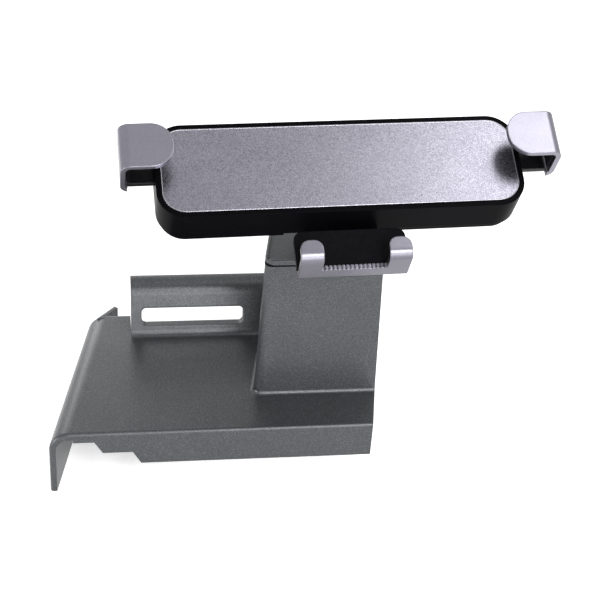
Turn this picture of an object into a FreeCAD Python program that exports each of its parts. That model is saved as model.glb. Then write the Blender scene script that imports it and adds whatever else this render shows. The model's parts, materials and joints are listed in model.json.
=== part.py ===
"""Gravity phone clamp on a ball joint, standing on a moulded console base.

Millimetres, +Z up, +Y towards the back.  The origin is the middle of the plate's
underside, where the base sits on the console.  The plate is skewed in plan: its sides
move along X as they run back.  The clamp has a frame of its own, with the ball's centre
as its origin, X along the housing, Y up its face and Z out of the face.
"""
import FreeCAD
import Part
import Sketcher
import math
import os
import re

# Driving dimensions: name, value, what it measures
SIZES = [
    ("plate_width", 130, "plate along its front edge"),
    ("plate_depth", 66.2, "plate from its front edge to the tab"),
    ("plan_skew", 0.2, "sideways shift of the plate's sides for each mm towards the back"),
    ("wall", 2.8, "wall of the base moulding"),
    ("skirt_drop", 15.7, "front skirt, below the plate's top"),
    ("skirt_start", 9.7, "left end of the front lip, from the plate's left side"),
    ("lip_drop", 4.4, "front lip left of the steps, below the plate's top"),
    ("step_one", 18, "first step of the skirt, from the plate's left side"),
    ("step_two", 33.2, "second step of the skirt, from the plate's left side"),
    ("step_run", 3.3, "length of each step along the skirt"),
    ("step_drop", 9.9, "skirt between the steps, below the plate's top"),
    ("flange_drop", 28.8, "folded left flange, below the plate's top"),
    ("fold_radius", 8, "outside of the left fold"),
    ("edge_radius", 1.2, "rounded front edge of the plate"),
    ("ear_depth", 15.4, "ear behind the tab's line, at the left"),
    ("ear_width", 21.6, "ear, from the plate's left side to the tab"),
    ("wrap_length", 11, "flange's end, turned in behind the ear"),
    ("tab_width", 60, "upright tab"),
    ("tab_height", 22.5, "upright tab, above the plate's top"),
    ("tab_lean", 6.5, "backward lean of the tab at its top"),
    ("tab_curl", 4, "curl at the tab's top, towards the back"),
    ("tab_bend", 3, "bend between the plate and the tab"),
    ("curl_radius", 7, "outside of the bend at the tab's top"),
    ("slot_inset", 4.5, "slot's left end, from the tab's left edge"),
    ("slot_width", 44, "slot in the tab"),
    ("slot_height", 7.9, "slot in the tab"),
    ("slot_rise", 4.1, "lower edge of the slot, above the plate's top"),
    ("slot_radius", 2, "corners of the slot"),
    ("post_front", 22.1, "post's front face, from the plate's front edge"),
    ("post_width", 51.4, "post at its foot"),
    ("post_depth", 37.6, "post at its foot"),
    ("post_height", 64, "top of the post's cap, above the plate's top"),
    ("post_draft", 1.9, "each side of the post leans in by this at its top"),
    ("post_wall", 2.6, "wall of the post"),
    ("post_edge", 3.5, "rounded left edges of the post"),
    ("cap_thickness", 2.6, "lid of the post"),
    ("cap_rim", 1.2, "rim around the lid's panel"),
    ("cap_recess", 0.8, "depth of the lid's panel"),
    ("plug_depth", 4, "plug of the lid inside the post"),
    ("plug_gap", 0.15, "gap between the plug and the post"),
    ("ball_radius", 8.5, "ball of the stud"),
    ("ball_rise", 13.5, "ball's centre, above the top of the post's cap"),
    ("stem_radius", 4, "neck of the stud"),
    ("stud_flange_radius", 7, "flange of the stud on the lid"),
    ("stud_flange", 2, "thickness of that flange"),
    ("tail_radius", 3, "threaded tail of the stud"),
    ("tail_gap", 0.1, "play of the tail in the lid"),
    ("washer_radius", 7, "washer under the lid"),
    ("washer_thickness", 1.2, "washer under the lid"),
    ("stud_nut_radius", 6, "corners of the hexagon nut"),
    ("stud_nut_height", 4, "hexagon nut under the lid"),
    ("clamp_tilt", 29.5, "clamp's face, leaning forward from flat, degrees"),
    ("clamp_roll", 1.7, "clamp turned about its own normal, degrees"),
    ("face_rise", 32.4, "outer face of the face plate, above the ball's centre"),
    ("housing_length", 140, "clamp housing"),
    ("housing_height", 40, "clamp housing"),
    ("housing_corner", 11, "corner radius of the housing"),
    ("front_depth", 15.4, "front shell, behind the face plate's face"),
    ("cover_depth", 5, "rear cover behind the front shell"),
    ("cover_inset", 1, "rear cover, inside the front shell's outline"),
    ("cover_round", 2.5, "rounded rear edge of the cover"),
    ("shell_wall", 2, "walls of both shells"),
    ("face_rim", 2, "rim of the front shell around the face plate"),
    ("face_thickness", 1, "face plate"),
    ("face_proud", 0.3, "face plate, in front of the rim"),
    ("face_gap", 0.1, "gap between the face plate and the rim"),
    ("slide_gap", 0.4, "play of every sliding piece"),
    ("socket_radius", 11, "outside of the ball's collet"),
    ("socket_gap", 0.15, "play of the ball in the collet"),
    ("socket_mouth", 3.2, "collet's edge, past the ball's centre"),
    ("slit_width", 1.2, "slits of the collet"),
    ("slit_depth", 9, "slits of the collet"),
    ("nut_radius", 14.5, "outside of the lock nut"),
    ("nut_top", 8.5, "front end of the lock nut, above the ball's centre"),
    ("nut_lip", 1, "inner lip of the lock nut"),
    ("nut_lip_radius", 8.8, "opening in that lip"),
    ("nut_gap", 0.3, "play between the lock nut and the collet"),
    ("nut_groove", 1, "radius of the grip grooves"),
    ("nut_grooves", 20, "number of grip grooves"),
    ("hook_overhang", 13, "outer face of each hook, beyond the housing's end"),
    ("hook_front", 12, "front of each hook, in front of the face plate"),
    ("hook_height", 18.5, "width of each hook, up the face"),
    ("hook_drop", 16, "middle of each hook, below the upper edge of the housing"),
    ("hook_pad", 20, "length of the hook's front"),
    ("hook_metal", 2, "thickness of the hook's strip"),
    ("hook_bend", 4, "outside of the hook's bends"),
    ("hook_tip", 8.5, "rounded end of the hook's front"),
    ("leaf_height", 14, "hook's leaf inside the housing"),
    ("leaf_length", 24, "hook's leaf, inside the housing's end"),
    ("liner", 1.5, "rubber liner of each hook"),
    ("liner_margin", 1, "hook's edge left bare beside the liner"),
    ("travel", 10, "slide of the foot and of each arm"),
    ("tooth_module", 1, "module of the racks and pinions"),
    ("pinion_teeth", 12, "teeth of each pinion"),
    ("pressure_angle", 25, "flank angle of the teeth, degrees"),
    ("addendum", 0.9, "tooth tip over the pitch line, in modules"),
    ("dedendum", 1.25, "tooth root under the pitch line, in modules"),
    ("backlash", 0.2, "taken off each tooth's thickness"),
    ("pinion_offset", 20, "pinion's axis, from the clamp's middle"),
    ("pinion_drop", 19, "pinion's axis, below the upper edge of the housing"),
    ("pin_radius", 1.5, "pinion's pin"),
    ("pin_gap", 0.1, "play of the pinion on its pin"),
    ("slider_thickness", 3, "arm sliders"),
    ("rack_back", 3.5, "bar behind each arm's rack"),
    ("rack_lead", 3.9, "inner end of each arm's rack, past its pinion's axis"),
    ("foot_half", 14, "half width of the foot's stem below the housing"),
    ("notch_half", 22, "half width of the rear cover's notch for the foot"),
    ("notch_round", 2, "upper corners of that notch"),
    ("foot_gap", 6.5, "top of the foot's pad, below the housing"),
    ("foot_height", 17, "foot, from its pad's top to the underside of its ledge"),
    ("foot_recess", 3, "front of the foot's pad, behind the face plate"),
    ("foot_half_width", 20.5, "half width of the foot's hooks"),
    ("foot_hook_width", 8.4, "width of each foot hook"),
    ("foot_lip_height", 8, "front lip of each foot hook"),
    ("foot_lip_front", 6.8, "front lip of each foot hook, in front of the face plate"),
    ("foot_metal", 2, "thickness of the foot's bracket"),
    ("foot_pad_half", 21, "half width of the foot's pad"),
    ("foot_pad_depth", 2.5, "thickness of the foot's pad"),
    ("foot_round", 3.5, "rounded corners of the foot's hooks and pad"),
    ("web", 3, "web from the foot's stem to its front"),
    ("serration", 1.6, "pitch of the ledge's serrations"),
    ("screw_radius", 1, "shank of the small screws"),
    ("screw_head_radius", 1.9, "head of the small screws"),
    ("screw_head", 1, "head height of the small screws"),
    ("boss_radius", 2.5, "screw bosses inside the front shell"),
    ("boss_end", 12, "screw bosses, from the housing's ends"),
    ("boss_side", 5, "screw bosses, from the housing's long sides"),
]

doc = FreeCAD.newDocument("phone_holder")
sheet = doc.addObject("Spreadsheet::Sheet", "Sizes")
for row, (alias, value, meaning) in enumerate(SIZES, start=1):
    sheet.set(f"A{row}", meaning)
    sheet.set(f"B{row}", str(value))
    sheet.setAlias(f"B{row}", alias)
doc.recompute()
ALIASES = {alias for alias, _, _ in SIZES}


def bound(text):
    """The formula with each size's name pointing at its cell."""
    return re.sub(r"[a-z_]+", lambda word: "Sizes." * (word.group() in ALIASES) + word.group(), str(text))


def number(text):
    """The formula's value with the sheet's present sizes."""
    return float(sheet.evalExpression(bound(text)))


def bind(thing, **formulas):
    """Ties properties to formulas; a double underscore in a name stands for a dot."""
    for name, text in formulas.items():
        thing.setExpression(name.replace("__", "."), bound(text))


# Sketches and features of the bodies
def start_sketch(body, name, plane, offset):
    """An empty sketch on one of the body's own planes, moved by the offset."""
    sketch = body.newObject("Sketcher::SketchObject", name)
    support = [item for item in body.Origin.OriginFeatures if item.Role == plane + "_Plane"]
    sketch.AttachmentSupport = (support[0], [""])
    sketch.MapMode = "FlatFace"
    for axis, text in zip("xyz", offset):
        sketch.setExpression("AttachmentOffset.Base." + axis, bound(text))
    return sketch


def hold_point(sketch, geometry, position, corner):
    """Fixes one point of the sketch by its two formulas."""
    for kind, text in zip(("DistanceX", "DistanceY"), corner):
        index = sketch.addConstraint(Sketcher.Constraint(kind, -1, 1, geometry, position, number(text)))
        sketch.setExpression(f"Constraints[{index}]", bound(text))


def outline(body, name, plane, corners, offset=(0, 0, 0)):
    """A closed outline of straight edges through the corners."""
    sketch = start_sketch(body, name, plane, offset)
    points = [FreeCAD.Vector(number(x), number(y), 0) for x, y in corners]
    count = len(points)
    for index in range(count):
        sketch.addGeometry(Part.LineSegment(points[index], points[(index + 1) % count]), False)
    for index in range(count):
        sketch.addConstraint(Sketcher.Constraint("Coincident", index, 2, (index + 1) % count, 1))
    for index, corner in enumerate(corners):
        hold_point(sketch, index, 1, corner)
    doc.recompute()
    return sketch


def discs(body, name, plane, radius, centres, offset=(0, 0, 0)):
    """Circles of one radius about the centres."""
    sketch = start_sketch(body, name, plane, offset)
    for index, centre in enumerate(centres):
        place = FreeCAD.Vector(number(centre[0]), number(centre[1]), 0)
        sketch.addGeometry(Part.Circle(place, FreeCAD.Vector(0, 0, 1), number(radius)), False)
        hold_point(sketch, index, 3, centre)
        size = sketch.addConstraint(Sketcher.Constraint("Radius", index, number(radius)))
        sketch.setExpression(f"Constraints[{size}]", bound(radius))
    doc.recompute()
    return sketch


def rectangle(left, right, low, high):
    """Corners of an upright rectangle."""
    return [(left, low), (right, low), (right, high), (left, high)]


def soft_rectangle(body, name, length, height, radius, level):
    """A round cornered rectangle about the Z axis, at a level."""
    sketch = start_sketch(body, name, "XY", (0, 0, level))
    across = f"({length}) / 2"
    up = f"({height}) / 2"
    ends = [
        (f"{radius} - {across}", f"-{up}"), (f"{across} - ({radius})", f"-{up}"),
        (across, f"{radius} - {up}"), (across, f"{up} - ({radius})"),
        (f"{across} - ({radius})", up), (f"{radius} - {across}", up),
        (f"-{across}", f"{up} - ({radius})"), (f"-{across}", f"{radius} - {up}"),
    ]
    points = [FreeCAD.Vector(number(x), number(y), 0) for x, y in ends]
    for side in range(4):
        sketch.addGeometry(Part.LineSegment(points[2 * side], points[2 * side + 1]), False)
    inset = number(radius)
    for side, (x, y) in enumerate(((1, -1), (1, 1), (-1, 1), (-1, -1))):
        centre = FreeCAD.Vector(x * (number(across) - inset), y * (number(up) - inset), 0)
        start = (side - 1) * math.pi / 2
        circle = Part.Circle(centre, FreeCAD.Vector(0, 0, 1), inset)
        sketch.addGeometry(Part.ArcOfCircle(circle, start, start + math.pi / 2), False)
    for side in range(4):
        hold_point(sketch, side, 1, ends[2 * side])
        hold_point(sketch, side, 2, ends[2 * side + 1])
        sketch.addConstraint(Sketcher.Constraint("Coincident", side, 2, side + 4, 1))
        sketch.addConstraint(Sketcher.Constraint("Coincident", side + 4, 2, (side + 1) % 4, 1))
        size = sketch.addConstraint(Sketcher.Constraint("Radius", side + 4, inset))
        sketch.setExpression(f"Constraints[{size}]", bound(radius))
    doc.recompute()
    return sketch


def pad(body, sketch, length, reverse=False, both=False, skewed=False):
    """Extrudes the sketch; skewed pads follow the plate's sides towards the back."""
    feature = body.newObject("PartDesign::Pad", sketch.Name + "_pad")
    feature.Profile = sketch
    feature.Reversed = reverse
    feature.SideType = "Symmetric" if both else "One side"
    bind(feature, Length=length)
    if skewed:
        feature.UseCustomVector = True
        feature.Direction = FreeCAD.Vector(0, 1, 0)
        bind(feature, Direction__x="plan_skew")
        feature.AlongSketchNormal = True
    doc.recompute()
    return feature


def pocket(body, sketch, length, upward=False, both=False):
    """Cuts the sketch out of the body, against its plane's normal unless upward."""
    before = body.Shape.Volume
    feature = body.newObject("PartDesign::Pocket", sketch.Name + "_pocket")
    feature.Profile = sketch
    feature.Reversed = upward
    feature.SideType = "Symmetric" if both else "One side"
    bind(feature, Length=length)
    doc.recompute()
    if not body.Shape.Volume < before:
        raise RuntimeError(feature.Name + " cuts nothing")
    return feature


def loft(body, kind, name, low, high):
    """A ruled body or cut between two outlines."""
    feature = body.newObject("PartDesign::" + kind, name)
    feature.Profile = low
    feature.Sections = [high]
    feature.Ruled = True
    doc.recompute()
    return feature


def straight_edges(body, along):
    """Index, edge pairs of the body's straight edges that run along a direction."""
    direction = FreeCAD.Vector(*along).normalize()
    parallel = 0.98
    unbent = 0.9999
    found = []
    for index, edge in enumerate(body.Tip.Shape.Edges, start=1):
        run = edge.Vertexes[-1].Point - edge.Vertexes[0].Point
        straight = edge.Length > 0 and run.Length > unbent * edge.Length
        if straight and abs(run.normalize().dot(direction)) > parallel:
            found.append((index, edge))
    return found


def edges(body, along, *places):
    """Names of the straight edges along a direction that lie nearest to the places."""
    found = straight_edges(body, along)
    names = []
    for place in places:
        point = Part.Vertex(FreeCAD.Vector(*place))
        index, _ = min(found, key=lambda pair: pair[1].distToShape(point)[0])
        if f"Edge{index}" not in names:
            names.append(f"Edge{index}")
    return names


def rounded(body, name, radius, names):
    """A fillet along the named edges."""
    base = body.Tip
    feature = body.newObject("PartDesign::Fillet", name)
    feature.Base = (base, names)
    bind(feature, Radius=radius)
    doc.recompute()
    return feature


# Primitives
def cylinder(name, radius, height, place):
    """A cylinder along Z with its foot at the place."""
    solid = doc.addObject("Part::Cylinder", name)
    bind(solid, Radius=radius, Height=height)
    for axis, text in zip("xyz", place):
        solid.setExpression("Placement.Base." + axis, bound(text))
    return solid


def fuse(name, shapes):
    """One object from several primitives."""
    whole = doc.addObject("Part::MultiFuse", name)
    whole.Shapes = shapes
    return whole


def cut(name, base, tool):
    """The base less the tool."""
    rest = doc.addObject("Part::Cut", name)
    rest.Base = base
    rest.Tool = tool
    return rest


def screws(name, head_level, shank_level, length, places, head_up):
    """Pan head screws along Z; the heads look along +Z or along -Z."""
    shapes = []
    for index, (x, y) in enumerate(places):
        head_foot = head_level if head_up else f"{head_level} - screw_head"
        shank_foot = f"{shank_level} - {length}" if head_up else shank_level
        shapes.append(cylinder(f"{name}_head{index}", "screw_head_radius", "screw_head", (x, y, head_foot)))
        shapes.append(cylinder(f"{name}_shank{index}", "screw_radius", length, (x, y, shank_foot)))
    return fuse(name, shapes)


sub_parts = []


def finish(thing, name, placement=None):
    """Names a sub-part and puts it in its place."""
    thing.Label = name
    if placement is not None:
        thing.Placement = placement
    sub_parts.append(thing)


# Places on the base, in the skewed plan
LEFT = "(-plate_width / 2)"
RIGHT = "(plate_width / 2)"
FRONT = "(-plate_depth / 2)"
BACK = "(plate_depth / 2)"
EAR_BACK = "(plate_depth / 2 + ear_depth)"
POST_FRONT = "(post_front - plate_depth / 2)"
POST_BACK = "(post_front - plate_depth / 2 + post_depth)"
POST_MIDDLE = "(post_front - plate_depth / 2 + post_depth / 2)"
TAB_LEFT = f"({LEFT} + ear_width + plan_skew * {BACK})"
CAP_TOP = "(wall + post_height)"
POST_TOP = f"({CAP_TOP} - cap_thickness)"
BALL_X = f"({RIGHT} - post_width / 2 + plan_skew * {POST_MIDDLE})"
BALL_Z = f"({CAP_TOP} + ball_rise)"
FRONT_PLANE = (f"plan_skew * {FRONT}", 0, f"-{FRONT}")


def skewed(across, back):
    """A corner of the skewed plan."""
    return (f"{across} + plan_skew * ({back})", back)


def post_plan(inset):
    """The post's plan, drawn in from its foot by the inset on every side."""
    left = f"({RIGHT} - post_width + ({inset}))"
    right = f"({RIGHT} - ({inset}))"
    front = f"({POST_FRONT} + ({inset}))"
    back = f"({POST_BACK} - ({inset}))"
    return [skewed(left, front), skewed(right, front), skewed(right, back), skewed(left, back)]


def make_base_shell():
    """Plate with a folded flange, stepped skirt, slotted tab, ear and hollow post."""
    body = doc.addObject("PartDesign::Body", "base_shell")
    section = outline(body, "plate_section", "XZ", [
        (LEFT, "wall"), (RIGHT, "wall"), (RIGHT, 0),
        (f"{LEFT} + wall", 0), (f"{LEFT} + wall", "wall - flange_drop"), (LEFT, "wall - flange_drop"),
    ], FRONT_PLANE)
    pad(body, section, "plate_depth + ear_depth", skewed=True)
    behind = outline(body, "behind_tab", "XY", rectangle(
        TAB_LEFT, f"{RIGHT} + plate_depth", BACK, f"{EAR_BACK} + wall"))
    pocket(body, behind, "wall", upward=True)
    side = (number("plan_skew"), 1, 0)
    fold_at = number(f"{LEFT}")
    rounded(body, "fold_outside", "fold_radius", edges(body, side, (fold_at, 0, number("wall"))))
    inner = number(f"{LEFT} + wall")
    rounded(body, "fold_inside", "fold_radius - wall", edges(body, side, (inner, 0, 0)))

    skirt = outline(body, "skirt", "XZ", [
        (f"{LEFT} + skirt_start", "wall"), (RIGHT, "wall"), (RIGHT, "wall - skirt_drop"),
        (f"{LEFT} + step_two + step_run", "wall - skirt_drop"), (f"{LEFT} + step_two", "wall - step_drop"),
        (f"{LEFT} + step_one + step_run", "wall - step_drop"), (f"{LEFT} + step_one", "wall - lip_drop"),
        (f"{LEFT} + skirt_start", "wall - lip_drop"),
    ], FRONT_PLANE)
    pad(body, skirt, "wall", skewed=True)
    across = (1, 0, 0)
    rounded(body, "front_edge", "edge_radius", edges(body, across, (0, number(FRONT), number("wall"))))

    wrap_x = f"({LEFT} + fold_radius / 2 + plan_skew * {EAR_BACK})"
    turn = "wrap_length / sqrt(2)"
    wrap = outline(body, "flange_wrap", "XY", [
        (wrap_x, f"{EAR_BACK} - wall / 2"), (f"{wrap_x} + wall", f"{EAR_BACK} - wall / 2"),
        (f"{wrap_x} + {turn} + wall / 2", f"{EAR_BACK} + {turn} - wall / 2"),
        (f"{wrap_x} + {turn}", f"{EAR_BACK} + {turn}"),
    ], (0, 0, "wall - flange_drop"))
    pad(body, wrap, "flange_drop")

    tab = outline(body, "tab", "YZ", [
        (f"{BACK} - wall", 0), (f"{BACK} + wall", 0),
        (f"{BACK} + wall + tab_lean", "tab_height"),
        (f"{BACK} + wall + tab_lean + tab_curl", "tab_height"),
        (f"{BACK} + wall + tab_lean + tab_curl", "tab_height + wall"),
        (f"{BACK} + tab_lean", "tab_height + wall"),
        (BACK, "wall"), (f"{BACK} - wall", "wall"),
    ], (0, 0, TAB_LEFT))
    pad(body, tab, "tab_width")
    middle = number(f"{TAB_LEFT} + tab_width / 2")
    back = number(BACK)
    rounded(body, "tab_bends", "tab_bend", edges(
        body, across, (middle, back, number("wall")), (middle, back + number("wall"), 0)))
    rounded(body, "curl_outside", "curl_radius", edges(
        body, across, (middle, number(f"{BACK} + tab_lean"), number("tab_height + wall"))))
    rounded(body, "curl_inside", "curl_radius - wall", edges(
        body, across, (middle, number(f"{BACK} + wall + tab_lean"), number("tab_height"))))
    slot_left = f"({TAB_LEFT} + slot_inset)"
    slot = outline(body, "tab_slot", "XZ", rectangle(
        slot_left, f"{slot_left} + slot_width", "wall + slot_rise", "wall + slot_rise + slot_height"),
        (0, 0, f"-{BACK} + tab_bend"))
    pocket(body, slot, "tab_bend + wall + tab_lean + tab_curl")
    slot_places = [(number(x), number(BACK) + number("wall"), number(z)) for x, z in rectangle(
        slot_left, f"{slot_left} + slot_width", "wall + slot_rise", "wall + slot_rise + slot_height")]
    rounded(body, "slot_corners", "slot_radius", edges(body, (0, 1, 0), *slot_places))

    foot = outline(body, "post_foot", "XY", post_plan("0"))
    top = outline(body, "post_top", "XY", post_plan("post_draft"), (0, 0, POST_TOP))
    loft(body, "AdditiveLoft", "post", foot, top)
    hollow_foot = outline(body, "post_hollow_foot", "XY", post_plan("post_wall"))
    hollow_top = outline(body, "post_hollow_top", "XY", post_plan("post_draft + post_wall"), (0, 0, POST_TOP))
    loft(body, "SubtractiveLoft", "post_hollow", hollow_foot, hollow_top)
    half = number(POST_TOP) / 2
    middles = [(number(x), number(y), half) for x, y in post_plan("post_draft / 2")]
    rounded(body, "post_left_edges", "post_edge", edges(body, (0, 0, 1), middles[0], middles[3]))
    finish(body, "base_shell")


def make_post_cap():
    """Lid of the post with a rimmed panel, a plug and the stud's hole."""
    body = doc.addObject("PartDesign::Body", "post_cap")
    lid = outline(body, "lid", "XY", post_plan("post_draft"), (0, 0, POST_TOP))
    pad(body, lid, "cap_thickness")
    level = number(f"{CAP_TOP} - cap_thickness / 2")
    places = [(number(x), number(y), level) for x, y in post_plan("post_draft")]
    rounded(body, "lid_left_edges", "post_edge", edges(body, (0, 0, 1), places[0], places[3]))
    panel = outline(body, "panel", "XY", post_plan("post_draft + cap_rim"), (0, 0, CAP_TOP))
    pocket(body, panel, "cap_recess")
    plug = outline(body, "plug", "XY", post_plan("post_draft + post_wall + plug_gap"), (0, 0, POST_TOP))
    pad(body, plug, "plug_depth", reverse=True)
    hole = discs(body, "stud_hole", "XY", "tail_radius + tail_gap", [(BALL_X, POST_MIDDLE)], (0, 0, CAP_TOP))
    pocket(body, hole, "cap_thickness + plug_depth")
    finish(body, "post_cap")


def stud_placement():
    """The ball's centre, unturned."""
    return FreeCAD.Placement(FreeCAD.Vector(number(BALL_X), number(POST_MIDDLE), number(BALL_Z)),
                             FreeCAD.Rotation())


FLOOR = "(-ball_rise - cap_recess)"
PLUG_FOOT = "(-ball_rise - cap_thickness - plug_depth)"
WASHER_FOOT = f"({PLUG_FOOT} - washer_thickness)"
NUT_FOOT = f"({WASHER_FOOT} - stud_nut_height)"


def make_stud():
    """Ball stud through the lid, with its washer and nut underneath."""
    ball = doc.addObject("Part::Sphere", "ball")
    bind(ball, Radius="ball_radius")
    neck = cylinder("neck", "stem_radius", f"-{FLOOR}", (0, 0, FLOOR))
    flange = cylinder("stud_flange", "stud_flange_radius", "stud_flange", (0, 0, FLOOR))
    tail = cylinder("tail", "tail_radius", f"{FLOOR} - {NUT_FOOT} + washer_thickness",
                    (0, 0, f"{NUT_FOOT} - washer_thickness"))
    finish(fuse("ball_stud", [ball, neck, flange, tail]), "ball_stud", stud_placement())
    disc = cylinder("washer_disc", "washer_radius", "washer_thickness", (0, 0, WASHER_FOOT))
    bore = cylinder("washer_bore", "tail_radius", "washer_thickness", (0, 0, WASHER_FOOT))
    finish(cut("stud_washer", disc, bore), "stud_washer", stud_placement())
    hexagon = doc.addObject("Part::Prism", "nut_hexagon")
    bind(hexagon, Circumradius="stud_nut_radius", Height="stud_nut_height", Placement__Base__z=NUT_FOOT)
    thread = cylinder("nut_thread", "tail_radius", "stud_nut_height", (0, 0, NUT_FOOT))
    finish(cut("stud_nut", hexagon, thread), "stud_nut", stud_placement())


def clamp_placement():
    """The ball's centre, tilted forward and turned about the face's normal."""
    tilt = FreeCAD.Rotation(FreeCAD.Vector(1, 0, 0), number("clamp_tilt"))
    roll = FreeCAD.Rotation(FreeCAD.Vector(0, 0, 1), number("clamp_roll"))
    return FreeCAD.Placement(stud_placement().Base, tilt.multiply(roll))


# Levels in the clamp's frame, above the ball's centre
SEAM = "(face_rise - front_depth)"
COVER_REAR = f"({SEAM} - cover_depth)"
COVER_FLOOR = f"({COVER_REAR} + shell_wall)"
FACE_SEAT = "(face_rise - face_thickness)"
CEILING = "(face_rise - face_thickness - shell_wall)"
LEAF_FRONT = f"({CEILING} - slide_gap)"
LEAF_REAR = f"({LEAF_FRONT} - hook_metal)"
SLIDER_REAR = f"({LEAF_REAR} - slider_thickness)"
STEM_REAR = f"({COVER_FLOOR} + slide_gap)"
STEM_FRONT = f"({SEAM} - slide_gap)"
PINION_LEVEL = "(housing_height / 2 - pinion_drop)"
HOOK_LEVEL = "(housing_height / 2 - hook_drop)"
HOOK_REACH = "(housing_length / 2 + hook_overhang)"
LEAF_INNER = "(housing_length / 2 - leaf_length)"


def make_lock_nut():
    """Ring nut around the collet, grooved for grip, with a lip behind the ball."""
    body = doc.addObject("PartDesign::Body", "lock_nut")
    mouth = "(-socket_mouth - nut_gap - nut_lip)"
    ring = discs(body, "ring", "XY", "nut_radius", [(0, 0)], (0, 0, mouth))
    pad(body, ring, f"nut_top - {mouth}")
    bore = discs(body, "ring_bore", "XY", "socket_radius + nut_gap", [(0, 0)], (0, 0, "nut_top"))
    pocket(body, bore, "nut_top + socket_mouth + nut_gap")
    opening = discs(body, "ring_opening", "XY", "nut_lip_radius", [(0, 0)], (0, 0, "nut_top"))
    pocket(body, opening, f"nut_top - {mouth}")
    groove = discs(body, "groove", "XY", "nut_groove", [("nut_radius", 0)], (0, 0, "nut_top"))
    grip = pocket(body, groove, f"nut_top - {mouth}")
    repeat(body, "grip_grooves", grip, "nut_grooves")
    finish(body, "lock_nut", clamp_placement())


def repeat(body, name, feature, count):
    """Copies a feature around the Z axis."""
    pattern = body.newObject("PartDesign::PolarPattern", name)
    pattern.Originals = [feature]
    axis = [item for item in body.Origin.OriginFeatures if item.Role == "Z_Axis"]
    pattern.Axis = (axis[0], [""])
    pattern.Angle = 360
    bind(pattern, Occurrences=count)
    body.Tip = pattern
    doc.recompute()
    return pattern


def centred(length, height):
    """A rectangle about the clamp's middle."""
    return rectangle(f"-({length}) / 2", f"({length}) / 2", f"-({height}) / 2", f"({height}) / 2")


BOSSES = [(f"{x} * (housing_length / 2 - boss_end)", f"{y} * (housing_height / 2 - boss_side)")
          for x in (-1, 1) for y in (-1, 1)]


def make_front_housing():
    """Front shell with the face plate's recess, end slots and screw bosses."""
    body = doc.addObject("PartDesign::Body", "front_housing")
    block = soft_rectangle(body, "front_block", "housing_length", "housing_height", "housing_corner", SEAM)
    pad(body, block, "front_depth - face_proud")
    cavity = soft_rectangle(body, "front_cavity", "housing_length - 2 * shell_wall",
                            "housing_height - 2 * shell_wall", "housing_corner - shell_wall", SEAM)
    pocket(body, cavity, f"{CEILING} - {SEAM}", upward=True)
    recess = soft_rectangle(body, "face_recess", "housing_length - 2 * face_rim",
                            "housing_height - 2 * face_rim", "housing_corner - face_rim", "face_rise")
    pocket(body, recess, "face_thickness")
    slots = outline(body, "leaf_slots", "YZ", rectangle(
        f"{HOOK_LEVEL} - leaf_height / 2 - slide_gap", f"{HOOK_LEVEL} + leaf_height / 2 + slide_gap",
        f"{LEAF_REAR} - slide_gap", CEILING))
    pocket(body, slots, "housing_length + 2 * shell_wall", both=True)
    bosses = discs(body, "bosses", "XY", "boss_radius", BOSSES, (0, 0, SEAM))
    pad(body, bosses, f"{CEILING} - {SEAM}")
    holes = discs(body, "boss_holes", "XY", "screw_radius", BOSSES, (0, 0, SEAM))
    pocket(body, holes, f"({CEILING} - {SEAM}) / 2", upward=True)
    finish(body, "front_housing", clamp_placement())


def make_face_plate():
    """Blasted aluminium plate in the front shell's recess."""
    body = doc.addObject("PartDesign::Body", "face_plate")
    inset = "face_rim + face_gap"
    face = soft_rectangle(body, "face", f"housing_length - 2 * ({inset})", f"housing_height - 2 * ({inset})",
                          f"housing_corner - ({inset})", FACE_SEAT)
    pad(body, face, "face_thickness")
    finish(body, "face_plate", clamp_placement())


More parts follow.
